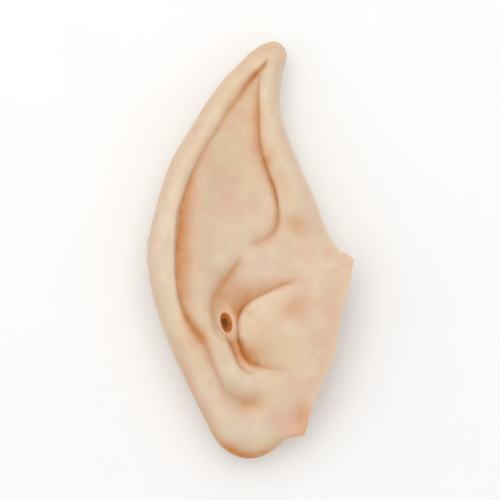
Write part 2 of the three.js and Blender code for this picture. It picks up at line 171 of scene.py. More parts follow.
# %% The folds' tables
FOLD_COLUMNS = "across along depth left right soft"
FOLDS = {
    "helix": table(FOLD_COLUMNS, [
        [0.594, 0.958, 0, 0.3, 0.3, 0.2],
        [0.564, 0.936, 0.24, 0.3, 0.2, 0.25],
        [0.521, 0.912, 0.3, 0.35, 0.18, 0.25],
        [0.483, 0.888, 0.22, 0.35, 0.2, 0.3],
        [0.443, 0.857, 0.1, 0.3, 0.22, 0.35],
        [0.387, 0.82, 0.07, 0.3, 0.22, 0.35],
        [0.341, 0.778, 0.07, 0.4, 0.22, 0.35],
        [0.278, 0.733, 0.1, 0.5, 0.2, 0.3],
        [0.228, 0.683, 0.18, 0.6, 0.14, 0.18],
        [0.187, 0.632, 0.36, 0.7, 0.1, 0.13],
        [0.158, 0.583, 0.4, 0.8, 0.07, 0.11],
        [0.148, 0.528, 0.38, 0.9, 0.06, 0.12],
        [0.145, 0.472, 0.34, 0.9, 0.06, 0.12],
        [0.153, 0.417, 0.3, 0.8, 0.07, 0.14],
        [0.171, 0.372, 0.3, 0.7, 0.1, 0.16],
        [0.21, 0.333, 0.36, 0.6, 0.2, 0.25],
        [0.257, 0.302, 0.44, 0.45, 0.35, 0.4],
        [0.29, 0.274, 0.3, 0.4, 0.35, 0.4],
        [0.314, 0.24, 0.22, 0.5, 0.3, 0.3],
        [0.345, 0.205, 0.19, 0.6, 0.25, 0.3],
        [0.378, 0.171, 0.19, 0.6, 0.3, 0.4],
        [0.426, 0.148, 0.22, 0.5, 0.5, 0.6],
        [0.5, 0.136, 0.2, 0.5, 0.5, 0.8],
        [0.58, 0.138, 0, 0.5, 0.5, 0.8],
    ]),
    "brow": table(FOLD_COLUMNS, [
        [0.548, 0.918, 0, 0.1, 0.3, 0.1],
        [0.539, 0.881, 0.17, 0.07, 0.35, 0.12],
        [0.54, 0.832, 0.2, 0.07, 0.4, 0.12],
        [0.542, 0.784, 0.22, 0.07, 0.45, 0.12],
        [0.551, 0.737, 0.25, 0.07, 0.45, 0.12],
        [0.58, 0.69, 0.3, 0.07, 0.45, 0.12],
        [0.611, 0.652, 0.38, 0.07, 0.4, 0.1],
        [0.631, 0.611, 0.34, 0.08, 0.4, 0.12],
        [0.634, 0.576, 0.3, 0.12, 0.4, 0.2],
        [0.62, 0.549, 0.28, 0.2, 0.4, 0.3],
        [0.585, 0.53, 0.22, 0.35, 0.45, 0.5],
        [0.53, 0.515, 0.12, 0.45, 0.5, 0.6],
        [0.486, 0.507, 0, 0.4, 0.5, 0.6],
    ]),
    "concha": table(FOLD_COLUMNS, [
        [0.472, 0.49, 0, 0.5, 0.5, 0.6],
        [0.438, 0.468, 0.2, 0.5, 0.5, 0.6],
        [0.383, 0.431, 0.28, 0.6, 0.55, 0.6],
        [0.34, 0.4, 0.22, 0.7, 0.55, 0.6],
        [0.321, 0.373, 0.15, 0.6, 0.5, 0.5],
        [0.329, 0.345, 0.12, 0.4, 0.4, 0.5],
        [0.354, 0.318, 0.14, 0.3, 0.3, 0.4],
        [0.385, 0.294, 0.36, 0.35, 0.12, 0.15],
        [0.409, 0.272, 0.48, 0.4, 0.08, 0.1],
        [0.432, 0.246, 0.38, 0.4, 0.08, 0.12],
        [0.457, 0.224, 0.2, 0.35, 0.12, 0.2],
        [0.488, 0.213, 0.14, 0.3, 0.14, 0.25],
        [0.57, 0.206, 0, 0.4, 0.3, 0.4],
    ]),
    "tragus": table(FOLD_COLUMNS, [
        [0.77, 0.434, 0, 0.3, 0.6, 0.4],
        [0.704, 0.425, 0.2, 0.25, 0.6, 0.4],
        [0.638, 0.414, 0.33, 0.16, 0.6, 0.25],
        [0.57, 0.398, 0.4, 0.12, 0.6, 0.18],
        [0.507, 0.381, 0.44, 0.1, 0.6, 0.15],
        [0.466, 0.361, 0.46, 0.08, 0.55, 0.14],
        [0.446, 0.341, 0.46, 0.07, 0.4, 0.1],
        [0.441, 0.32, 0.4, 0.07, 0.3, 0.1],
        [0.443, 0.299, 0.4, 0.1, 0.25, 0.1],
        [0.451, 0.278, 0.48, 0.24, 0.25, 0.1],
        [0.464, 0.258, 0.5, 0.45, 0.25, 0.14],
        [0.488, 0.24, 0.48, 0.65, 0.25, 0.18],
        [0.52, 0.23, 0.4, 0.7, 0.3, 0.3],
        [0.567, 0.224, 0.26, 0.7, 0.35, 0.5],
        [0.627, 0.22, 0.13, 0.6, 0.4, 0.6],
        [0.704, 0.22, 0, 0.6, 0.4, 0.6],
    ]),
}
PATH_STEPS = 6
FOLD_FADE, FOLD_END = 3.2, 8.0
print({name: len(fold["depth"]) for name, fold in FOLDS.items()})

# %% [markdown]
# A path is drawn as a Catmull-Rom curve, which passes through each of its points. Depth, slopes and paint
# ease from point to point instead, because a curve through them could overshoot below zero. For any point of
# the face, `nearest` finds the closest place on the path and the side on which the point lies. The groove
# itself is an exponential: steep at the path, and flattening out over the reach of its side. Further than
# FOLD_FADE it fades, and at FOLD_END it is gone.

# %% Folds as curves
CHUNK = 8192


def smooth_path(fold):
    """The path in millimetres, in short straight steps, with its other columns eased from point to point."""
    last = len(fold["across"]) - 1
    i, step = np.divmod(np.arange(last * PATH_STEPS + 1), PATH_STEPS)
    t = step / PATH_STEPS

    def near(name, shift):
        return fold[name][np.clip(i + shift, 0, last)]

    def curve(name):
        a, b, c, d = (near(name, shift) for shift in (-1, 0, 1, 2))
        return b + ((3 * (b - c) + d - a) * t**3 + (2 * a - 5 * b + 4 * c - d) * t * t + (c - a) * t) / 2

    def eased(name):
        return mix(near(name, 0), near(name, 1), smooth(0, 1, t))

    others = {name: eased(name) for name in fold if name not in ("across", "along")}
    return {"x": curve("across") * WIDTH, "y": curve("along") * LENGTH} | others


PATHS = {name: smooth_path(fold) for name, fold in FOLDS.items()}


def nearest(path, x, y):
    """For each point, the gap to the path, whether it lies on its left, and the place along it in steps."""
    ax, ay = path["x"][:-1], path["y"][:-1]
    dx, dy = np.diff(path["x"]), np.diff(path["y"])
    gap, is_left, place = np.empty(x.size), np.empty(x.size, bool), np.empty(x.size)
    for first in range(0, x.size, CHUNK):
        part = slice(first, first + CHUNK)
        px, py = x.ravel()[part, None] - ax, y.ravel()[part, None] - ay
        t = np.clip((px * dx + py * dy) / (dx * dx + dy * dy), 0, 1)
        gaps = np.hypot(px - t * dx, py - t * dy)
        best = gaps.argmin(1)
        row = np.arange(best.size)
        gap[part] = gaps[row, best]
        is_left[part] = (dx * py - dy * px)[row, best] > 0
        place[part] = best + t[row, best]
    return gap.reshape(x.shape), is_left.reshape(x.shape), place.reshape(x.shape)


def along_path(path, name, place):
    """A column of the path at places given in steps, on straight lines between them."""
    return np.interp(place, np.arange(path[name].size), path[name])


def side_reach(path, is_left, place):
    """How far the slope or the haze of a path reaches, on the side where each point lies."""
    return np.where(is_left, along_path(path, "left", place), along_path(path, "right", place))


def fold_sink(path, x, y, widening):
    """depth * exp(-gap / reach), rounded at the bottom; a widening of one wall is for the inner skin."""
    gap, is_left, place = nearest(path, x, y)
    reach = side_reach(path, is_left, place) * FOLD_SPREAD
    gap = np.maximum(gap - widening, 0)
    soft = along_path(path, "soft", place)
    depth = along_path(path, "depth", place) * FOLD_DEPTH * (1 - smooth(FOLD_FADE, FOLD_END, gap))
    return depth * np.exp((soft - np.hypot(gap, soft)) / reach)


print({name: f"{np.hypot(np.diff(p['x']), np.diff(p['y'])).sum():.0f} mm" for name, p in PATHS.items()})

# %% [markdown]
# ## Swellings
#
# What isn't a groove is a soft rise or hollow, such as the round of the tragus or the pad of the lobe. Each
# is a bell: its height falls off as exp(-u² - v²), with u and v measured along its own leaning axes.

# %% Swellings
BELL_COLUMNS = "across along wide long lean"
SWELLS = table(BELL_COLUMNS + " height", [
    [0.345, 0.652, 0.18, 0.18, -20, -0.35],  # the upper basin
    [0.472, 0.562, 0.13, 0.06, 0, 0.27],  # a pillow above the ridge
    [0.423, 0.375, 0.11, 0.06, -20, -1.0],  # the bowl of the concha
    [0.627, 0.33, 0.17, 0.083, 0, 0.83],  # the tragus
    [0.725, 0.369, 0.07, 0.042, 20, -0.35],  # a dent on the tragus
    [0.282, 0.365, 0.07, 0.14, 8, 0.4],  # the ridge behind the concha
    [0.437, 0.206, 0.13, 0.028, -20, 0.4],  # the ridge below the concha
    [0.514, 0.14, 0.085, 0.024, 0, -0.47],  # a hollow above the lobe
    [0.458, 0.085, 0.14, 0.042, 0, 0.27],  # the pad of the lobe
    [0.746, 0.106, 0.042, 0.035, -10, -0.6],  # a dimple by the lower corner
    [0.732, 0.555, 0.07, 0.028, -30, -0.27],  # a dimple by the brow
])


def bells(spots, x, y):
    """For each row of a table of spots, its bell at every point, one array after another."""
    for across, along, wide, long, lean in zip(*(spots[name] for name in BELL_COLUMNS.split())):
        dx, dy = x - across * WIDTH, y - along * LENGTH
        cos, sin = np.cos(np.radians(lean)), np.sin(np.radians(lean))
        u, v = (dx * cos + dy * sin) / (wide * WIDTH), (dy * cos - dx * sin) / (long * LENGTH)
        yield np.exp(-u * u - v * v)


print(len(SWELLS["height"]), "swellings and hollows")

# %% [markdown]
# ## The outline and the opening
#
# Both ends of the ear close on a quarter circle. Along the cheek side the skin doesn't close at all: the flap
# ends in a cut edge, the back is cut away in a bow behind it, and the wearer's ear goes in between. The inner
# skin is the same form, set in by the wall.

# %% The outline of a section
REAR_ROUNDING, FRONT_ROUNDING, FLAP_SLOPE, BACK_ROUNDING = 6.5, 6.0, 14.0, 15.0
OPENING_BOW = 14.0
OPENING_EASE = 3.0
FLAP_FOOT, FLAP_TOP = (0.02, 0.1), (0.5, 0.66)
SMALLEST = 1e-6
CROWDING = 0.8
RIM_STEPS = 720


def crowded(steps):
    """Shares from 0 to 1, closer together at both ends: an even ruler blended with a cosine."""
    even = np.linspace(0, 1, steps + 1)
    return mix(even, (1 - np.cos(np.pi * even)) / 2, CROWDING)


def openness(y):
    """1 along the opening, easing to 0 at its ends and beyond them."""
    return smooth(0, OPENING_EASE, np.minimum(OPENING_TOP * LENGTH - y, y - OPENING_FOOT * LENGTH))


def flatness(y):
    """1 along the cheek flap, which slopes gently to its edge, and 0 where the front rim rolls under."""
    return (1 - smooth(*FLAP_TOP, y / LENGTH)) * smooth(*FLAP_FOOT, y / LENGTH)


def closing(y, inset):
    """1 along the body, falling on a quarter circle to 0 at the tip and at the end of the lobe."""
    tip = (LENGTH - inset - y) / (LENGTH * (1 - TIP_CAP) - inset)
    lobe = (y - inset) / (LENGTH * LOBE_CAP - inset)
    return quarter(tip) * quarter(lobe)


def outline(y, inset):
    """Rear and front of the section at y. The flap ends half a wall short, for its rounded cut edge."""
    def near(name):
        return np.array([section(name, y + shift) for shift in (-inset, 0, inset)]) * WIDTH

    rear_near, front_near = near("rear"), near("front")
    rear = rear_near.max(0) + inset
    front = mix(front_near.min(0) - inset, front_near[1] - WALL / 2, openness(y))
    middle, width = (rear + front) / 2, closing(y, inset)
    return mix(middle, rear, width), mix(middle, front, width)


def rim_gaps(x, y, inset):
    """How far each point lies from the rear and from the front outline, measured the shortest way."""
    down = mix(LENGTH - inset, inset, crowded(RIM_STEPS))
    gaps = []
    for side, own in zip(outline(down, inset), outline(y, inset)):
        gaps.append(np.minimum(nearest({"x": side, "y": down}, x, y)[0], np.abs(x - own)))
    return gaps


def heights(y, inset):
    """The heights of the section at y. Inside, the crests are a wall lower and the back a wall higher."""
    rim = section("rim", y) * DEPTH
    crests = {name: section(name, y) * DEPTH - inset for name in ("crown", "basin", "brow")}
    edge = section("edge", y) * DEPTH
    back = mix(rim, section("back", y) * DEPTH + inset, closing(y, inset))
    return crests | {"rim": rim, "edge": edge, "cut": edge - inset * openness(y), "back": back}


def back_end(y, front):
    """Where the back ends: at the section's front, or along the opening at its cut edge, which is a bow."""
    share = (y / LENGTH - OPENING_FOOT) / (OPENING_TOP - OPENING_FOOT)
    ends = [section("front", place * LENGTH) * WIDTH for place in (OPENING_FOOT, OPENING_TOP)]
    cut = mix(*ends, share) - OPENING_BOW * 4 * share * (1 - share)
    return np.where((share > 0) & (share < 1), np.minimum(front, cut), front)


print("the opening is", f"{(OPENING_TOP - OPENING_FOOT) * LENGTH:.0f} mm long")

# %% [markdown]
# ## The sound hole
#
# The wearer hears through a small oval hole in the bowl of the concha. The sculptor left a level seat round
# it and a raised lip, so that the latex doesn't tear there. The seat blends the face towards one height near
# the hole, and the lip is a low arch just outside its edge. On its way in the hole narrows to the share
# HOLE_TAPER of its size and moves to the rear, so its wall shows from above.

# %% The sound hole
HOLE = {"across": 0.387, "along": 0.329, "height": 0.78, "width": 4.1, "length": 7.6, "lean": 14.0}
HOLE_TAPER, HOLE_SHIFT = 0.44, 1.0
LIP_WIDTH, LIP_HEIGHT, SEAT_REACH = 0.6, 0.22, 3.2
HOLE_LEAN = np.radians(HOLE["lean"])


def hole_frame(x, y):
    """The point seen along the hole's own two axes."""
    dx, dy = x - HOLE["across"] * WIDTH, y - HOLE["along"] * LENGTH
    return dx * np.cos(HOLE_LEAN) + dy * np.sin(HOLE_LEAN), dy * np.cos(HOLE_LEAN) - dx * np.sin(HOLE_LEAN)


def hole_gap(x, y):
    """How far a point lies outside the oval, measured along the line from its middle."""
    u, v = hole_frame(x, y)
    share = np.hypot(u / (HOLE["width"] / 2), v / (HOLE["length"] / 2))
    return np.hypot(u, v) * (1 - 1 / np.maximum(share, 1))


print(f"the sound hole is {HOLE['width']} x {HOLE['length']} mm")

# %% [markdown]
# ## The face and the back as heights
#
# Now the pieces meet: the broad form from the sections, less the folds, plus the swellings, levelled at the
# hole and rounded down to the rims. BASIN_SPAN and BROW_SPAN say where, across the ear, the crown gives way
# to the basin and the basin to the brow. Waves of about a tenth of a millimetre are added too. They are too
# low to see as forms, but they break up reflections as a hand-smoothed clay surface does.

# %% Heights of the face and the back
BASIN_SPAN, BROW_SPAN = (0.1, 0.45), (0.5, 0.86)
WAVE_COUNT, WAVE_LENGTHS, WAVE_HEIGHT = 24, (6, 16), 0.035
rng = np.random.default_rng(7)
WAVES = np.column_stack([
    rng.uniform(*WAVE_LENGTHS, WAVE_COUNT),
    rng.uniform(0, 2 * np.pi, (WAVE_COUNT, 2)),
])


def waves(x, y):
    """A sum of low sine waves, each with its own length, direction and phase."""
    total = np.zeros(np.broadcast(x, y).shape)
    for size, direction, phase in WAVES:
        total += np.sin(2 * np.pi * (x * np.cos(direction) + y * np.sin(direction)) / size + phase)
    return WAVE_HEIGHT * total


def face_height(x, y, inset):
    """The height of the face, or of the inner skin under it, at (x, y)."""
    rear, front = outline(y, inset)
    high = heights(y, inset)
    across = (x - rear) / np.maximum(front - rear, SMALLEST)
    z = mix(high["crown"], high["basin"], smooth(*BASIN_SPAN, across))
    z = mix(z, high["brow"], smooth(*BROW_SPAN, across))
    for path in PATHS.values():
        z = z - fold_sink(path, x, y, inset)
    for height, bell in zip(SWELLS["height"], bells(SWELLS, x, y)):
        z = z + height * SWELL_HEIGHT * bell
    z = z + waves(x, y)
    gap = hole_gap(x, y)
    z = mix(HOLE["height"] * DEPTH - inset, z, smooth(LIP_WIDTH, LIP_WIDTH + SEAT_REACH, gap))
    if not inset:
        z = z + LIP_HEIGHT * (1 - np.clip(2 * gap / LIP_WIDTH - 1, -1, 1) ** 2)
    flat = flatness(y)
    rear_gap, front_gap = rim_gaps(x, y, inset)
    rear_rise = quarter(rear_gap / (REAR_ROUNDING - inset))
    front_rise = quarter(front_gap / mix(FRONT_ROUNDING - inset, FLAP_SLOPE, flat)) ** (1 + flat)
    base = mix(high["cut"], high["rim"], front_gap / (rear_gap + front_gap + SMALLEST))
    return mix(base, z, rear_rise * front_rise)


def back_height(x, y, inset):
    """The height of the back at (x, y): level where the ear lies, and a quarter circle up to each rim."""
    rear, front = outline(y, inset)
    high = heights(y, inset)
    reach = np.maximum(np.minimum(BACK_ROUNDING - inset, (front - rear) / 2), SMALLEST)
    rear_rise = (high["rim"] - high["back"]) * (1 - quarter((x - rear) / reach))
    front_rise = (high["edge"] - high["back"]) * (1 - quarter((front - x) / reach))
    return high["back"] + rear_rise + front_rise


print("half way up, the back lies at", f"{float(back_height(WIDTH / 2, LENGTH / 2, 0)):.2f} mm")

# %% [markdown]
# ## A grid that follows the folds
#
# The surface is a grid of rows across the ear. If its columns ran straight, a crisp fold would cut across
# them and look like a staircase. So the columns are guided: some follow the helix fold, some the tragus and
# some the brow, and they crowd together next to those lines, where the form turns fastest.

# %% Rows, guide lines and columns
GUIDES = {"helix": (0.05, 0.4), "tragus": (0.42, 0.58), "brow": (0.6, 0.76)}
OUTER_STEPS = {"face": (44, 52, 38, 36), "back": 28}
OUTER_ROWS = {"tip": 18, "upper": 140, "upper_corner": 14, "flap": 196, "lower_corner": 12, "lobe": 18}
INNER_STEPS = {"face": (12, 14, 12, 10), "back": 16}
INNER_ROWS = {name: max(4, steps // 3) for name, steps in OUTER_ROWS.items()}


def row_places(inset, steps):
    """Where the rows lie, from tip to lobe, on quarter circles over both caps, and which have the opening."""
    def even(start, end, count):
        return np.linspace(start, end, count, endpoint=False) * LENGTH

    tip = np.sin(np.pi / 2 * np.linspace(1, 0, steps["tip"], endpoint=False))
    lobe = np.sin(np.pi / 2 * np.linspace(0, 1, steps["lobe"] + 1))
    places = np.concatenate([
        mix(TIP_CAP * LENGTH, LENGTH - inset, tip),
        even(TIP_CAP, OPENING_TOP, steps["upper"]),
        even(OPENING_TOP, UPPER_CORNER, steps["upper_corner"]),
        even(UPPER_CORNER, LOWER_CORNER, steps["flap"]),
        even(LOWER_CORNER, OPENING_FOOT, steps["lower_corner"]),
        mix(LOBE_CAP * LENGTH, inset, lobe),
    ])
    first = steps["tip"] + steps["upper"]
    last = first + steps["upper_corner"] + steps["flap"] + steps["lower_corner"]
    return places, slice(first, last + 1)


def guide_lines(y, rear, front):
    """The outline and the three guided lines between them, one column each."""
    lines = [rear]
    for name, limits in GUIDES.items():
        path = PATHS[name]
        down = np.minimum.accumulate(path["y"])
        x = np.interp(-y, -down, path["x"])
        low, high = (mix(rear, front, share) for share in limits)
        lines.append(np.clip(x, low, high))
    return np.stack(lines + [front], 1)


def columns(lines, steps):
    """x of every column: crowded shares of each stretch between two guide lines."""
    stretches = [mix(lines[:, i, None], lines[:, i + 1, None], crowded(n)) for i, n in enumerate(steps)]
    return np.concatenate([stretches[0]] + [s[:, 1:] for s in stretches[1:]], 1)


def skin_grids(inset, steps, rows):
    """The face and the back of one skin as grids of points, and the rows along the opening."""
    y, opening = row_places(inset, rows)
    rear, front = outline(y, inset)
    face_x = columns(guide_lines(y, rear, front), steps["face"])
    back_x = mix(rear[:, None], back_end(y, front)[:, None], crowded(steps["back"]))
    grids = []
    for x, height in ((face_x, face_height), (back_x, back_height)):
        wide_y = np.broadcast_to(y[:, None], x.shape)
        grids.append(np.stack([x, wide_y, height(x, wide_y, inset)], -1))
    return grids[0], grids[1], opening


outer_face, outer_back, outer_open = skin_grids(0, OUTER_STEPS, OUTER_ROWS)
inner_face, inner_back, inner_open = skin_grids(WALL, INNER_STEPS, INNER_ROWS)
print("outer face", outer_face.shape, "outer back", outer_back.shape, "inner face", inner_face.shape)

# %% [markdown]
# ## Faces from grids
#
# Each patch below is a list of points and a list of triangles. Patches are kept apart while they are made,
# and one weld at the end joins points that share a place. That closes the poles and seams by itself.

# %% Triangles of a grid
patches = []


def add_patch(points, triangles, kind):
    """Keeps a patch. kind: face 0, back 1, inside 2, cut edges a blend of them, and the hole 0 to -1."""
    points = np.asarray(points, float).reshape(-1, 3)
    patches.append((points, np.asarray(triangles), np.broadcast_to(kind, len(points)).astype(float)))


def grid_triangles(rows, count, flip=False, keep=None):
    """Two triangles for each cell of a grid of rows x count points; keep says which cells stay."""
    ids = np.arange(rows * count).reshape(rows, count)
    cells = np.stack([ids[:-1, :-1], ids[:-1, 1:], ids[1:, 1:], ids[1:, :-1]], -1)
    cells = cells.reshape(-1, 4) if keep is None else cells[keep]
    triangles = np.concatenate([cells[:, [0, 1, 2]], cells[:, [0, 2, 3]]])
    return triangles[:, ::-1] if flip else triangles


def zip_triangles(first_ends, second_ends):
    """Triangles between two lines with unlike counts of steps, taken in the order in which the steps end."""
    first_steps = len(first_ends)
    order = np.argsort(np.concatenate([first_ends, second_ends]), kind="stable")
    is_first = order < first_steps
    first_at, second_at = np.cumsum(is_first), np.cumsum(~is_first) + first_steps + 1
    one = np.stack([first_at - 1, first_at, second_at], 1)[is_first]
    two = np.stack([second_at, second_at - 1, first_at], 1)[~is_first]
    return np.concatenate([one, two])


print("helpers ready")

# %% [markdown]
# ## Round the hole
#
# A grid can't end on an oval, so a block of cells is taken out round the hole and replaced by rings. Each
# ring point slides on a straight line from the block's edge to the oval, and takes its height from the face.

# %% The hole's rings in one skin
BLOCK_MARGIN = 1.1
RING_STEPS = {"outer": 14, "inner": 4}


def block_edge(rows, cols):
    """The grid places along the edge of a block, once round, as row numbers and column numbers."""
    r0, r1, c0, c1 = rows.start, rows.stop, cols.start, cols.stop
    down, up = np.arange(r0, r1), np.arange(r1, r0, -1)
    there, back = np.arange(c0, c1), np.arange(c1, c0, -1)
    row = np.concatenate([down, np.full(len(there), r1), up, np.full(len(back), r0)])
    col = np.concatenate([np.full(len(down), c0), there, np.full(len(up), c1), back])
    return np.append(row, row[0]), np.append(col, col[0])


def oval(angle, scale):
    """Points of the hole's oval, or of a smaller one deeper in the hole, which leans to the rear."""
    u, v = scale * HOLE["width"] / 2 * np.cos(angle), scale * HOLE["length"] / 2 * np.sin(angle)
    u = u - (1 - scale) * HOLE_SHIFT
    x = HOLE["across"] * WIDTH + u * np.cos(HOLE_LEAN) - v * np.sin(HOLE_LEAN)
    return x, HOLE["along"] * LENGTH + u * np.sin(HOLE_LEAN) + v * np.cos(HOLE_LEAN)


def hole_rings(face, inset, steps):
    """The rings that fill a block of a face grid down to the oval, the cells that stay, and the angles."""
    centre = np.array([HOLE["across"] * WIDTH, HOLE["along"] * LENGTH])
    y = face[:, 0, 1]
    inside_rows = np.flatnonzero(np.abs(y - centre[1]) < HOLE["length"] / 2 + BLOCK_MARGIN)
    middle_row = face[inside_rows[len(inside_rows) // 2], :, 0]
    inside_cols = np.flatnonzero(np.abs(middle_row - centre[0]) < HOLE["width"] / 2 + BLOCK_MARGIN)
    rows = slice(inside_rows[0] - 1, inside_rows[-1] + 1)
    cols = slice(inside_cols[0] - 1, inside_cols[-1] + 1)
    edge = face[block_edge(rows, cols)]
    u, v = hole_frame(edge[:, 0], edge[:, 1])
    angle = np.arctan2(v / HOLE["length"], u / HOLE["width"])
    oval_x, oval_y = oval(angle, HOLE_TAPER if inset else 1)
    share = quarter(np.linspace(0, 1, steps + 1))[:, None]
    x, y = mix(edge[:, 0], oval_x, share), mix(edge[:, 1], oval_y, share)
    rings = np.stack([x, y, face_height(x, y, inset)], -1)
    rings[0] = edge
    keep = np.ones((face.shape[0] - 1, face.shape[1] - 1), bool)
    keep[rows, cols] = False
    return rings, keep, angle


outer_rings, outer_keep, outer_angle = hole_rings(outer_face, 0, RING_STEPS["outer"])
inner_rings, inner_keep, inner_angle = hole_rings(inner_face, WALL, RING_STEPS["inner"])
print("points round the hole:", outer_rings.shape[1] - 1, "outside and", inner_rings.shape[1] - 1, "inside")

# %% [markdown]
# ## Putting the patches together
#
# The face and the back of each skin, the rings, and the tube of the hole between the skins. The inner skin is
# coarser, so where the two meet, a zip of triangles takes up the unlike counts.

# %% Skins and hole
add_patch(outer_face, grid_triangles(*outer_face.shape[:2], flip=True, keep=outer_keep), 0)
add_patch(outer_back, grid_triangles(*outer_back.shape[:2]), 1)
add_patch(inner_face, grid_triangles(*inner_face.shape[:2], keep=inner_keep), 2)
add_patch(inner_back, grid_triangles(*inner_back.shape[:2], flip=True), 2)
add_patch(outer_rings, grid_triangles(*outer_rings.shape[:2]), 0)
add_patch(inner_rings, grid_triangles(*inner_rings.shape[:2], flip=True), 2)

TUBE_STEPS = 10
tube_top, tube_foot = outer_rings[-1], inner_rings[-1]
foot_height = np.interp(np.unwrap(outer_angle), np.unwrap(inner_angle), tube_foot[:, 2], period=2 * np.pi)
tube_share = np.linspace(0, 1, TUBE_STEPS + 1)[:, None]
tube_x, tube_y = oval(outer_angle, mix(1, HOLE_TAPER, tube_share))
tube = np.stack([tube_x, tube_y, mix(tube_top[:, 2], foot_height, tube_share)], -1)
tube[0] = tube_top
add_patch(tube, grid_triangles(*tube.shape[:2]), np.repeat(-tube_share.ravel(), tube.shape[1]))
print(len(patches), "patches")

# %% [markdown]
# The two cut edges, of the flap and of the back, are rounded over. Each is half a circle between the skins,
# pushed out along the edge's own normal, and it fades to nothing at the ends of the opening where they meet.

# %% Joining unlike edges
ROUND_STEPS = 6


def zip_between(first, second, kind, flip):
    """A zip of triangles between two lines of points, paced by the share of each line's length."""
    ends = [np.cumsum(np.linalg.norm(np.diff(line[:, :2], axis=0), axis=1)) for line in (first, second)]
    triangles = zip_triangles(*(end / end[-1] for end in ends))
    add_patch(np.concatenate([first, second]), triangles[:, ::-1] if flip else triangles, kind)


def rounded_edge(outer, inner, outer_kind, flip):
    """Half a circle between the cut edges of both skins, and a zip to the inner one."""
    x, z = (np.interp(-outer[:, 1], -inner[:, 1], inner[:, i]) for i in (0, 2))
    facing = np.stack([x, outer[:, 1], z], -1)
    tangent = np.gradient(outer[:, :2], axis=0)
    normal = np.stack([-tangent[:, 1], tangent[:, 0]], -1) / np.linalg.norm(tangent, axis=1)[:, None]
    turn = np.linspace(0, np.pi, ROUND_STEPS + 1)[:, None, None]
    grid = mix(outer, facing, (1 - np.cos(turn)) / 2)
    grid[..., :2] += np.sin(turn) * WALL / 2 * normal * openness(outer[:, 1])[:, None]
    kind = np.linspace(outer_kind, 2, ROUND_STEPS + 1)
    add_patch(grid, grid_triangles(*grid.shape[:2], flip=flip), np.repeat(kind, len(outer)))
    zip_between(grid[-1], inner, 2, flip)


zip_between(tube[-1], tube_foot, 2, False)
rounded_edge(outer_face[outer_open, -1], inner_face[inner_open, -1], 0, False)
rounded_edge(outer_back[outer_open, -1], inner_back[inner_open, -1], 1, True)
print(len(patches), "patches, with", sum(len(t) for _, t, _ in patches), "triangles")

# %% [markdown]
# ## The weld
#
# Points that agree to a thousandth of a millimetre become one, and triangles that lose a corner that way
# are dropped. Then every edge should have exactly two triangles, one in each direction: that is what closed
# means, and it is quick to count.

# %% Weld and check
WELD_GRAIN = 1e-3


def weld(parts):
    """All patches as one mesh: points, triangles and the kind of each point."""
    starts = np.cumsum([0] + [len(points) for points, _, _ in parts[:-1]])
    points = np.concatenate([points for points, _, _ in parts])
    triangles = np.concatenate([t + start for (_, t, _), start in zip(parts, starts)])
    kinds = np.concatenate([kind for _, _, kind in parts])
    _, first, group = np.unique(np.round(points / WELD_GRAIN), axis=0, return_index=True, return_inverse=True)
    triangles = group.ravel()[triangles]
    a, b, c = triangles.T
    triangles = triangles[(a != b) & (b != c) & (a != c)]
    used, triangles = np.unique(triangles, return_inverse=True)
    return points[first][used], triangles.reshape(-1, 3), kinds[first][used]


points, triangles, kinds = weld(patches)
edges = np.concatenate([triangles[:, [0, 1]], triangles[:, [1, 2]], triangles[:, [2, 0]]])
codes = edges[:, 0] * len(points) + edges[:, 1]
mirrored = edges[:, 1] * len(points) + edges[:, 0]
print("open edges:", np.sum(~np.isin(mirrored, codes)))
print("doubled edges:", len(codes) - len(np.unique(codes)))
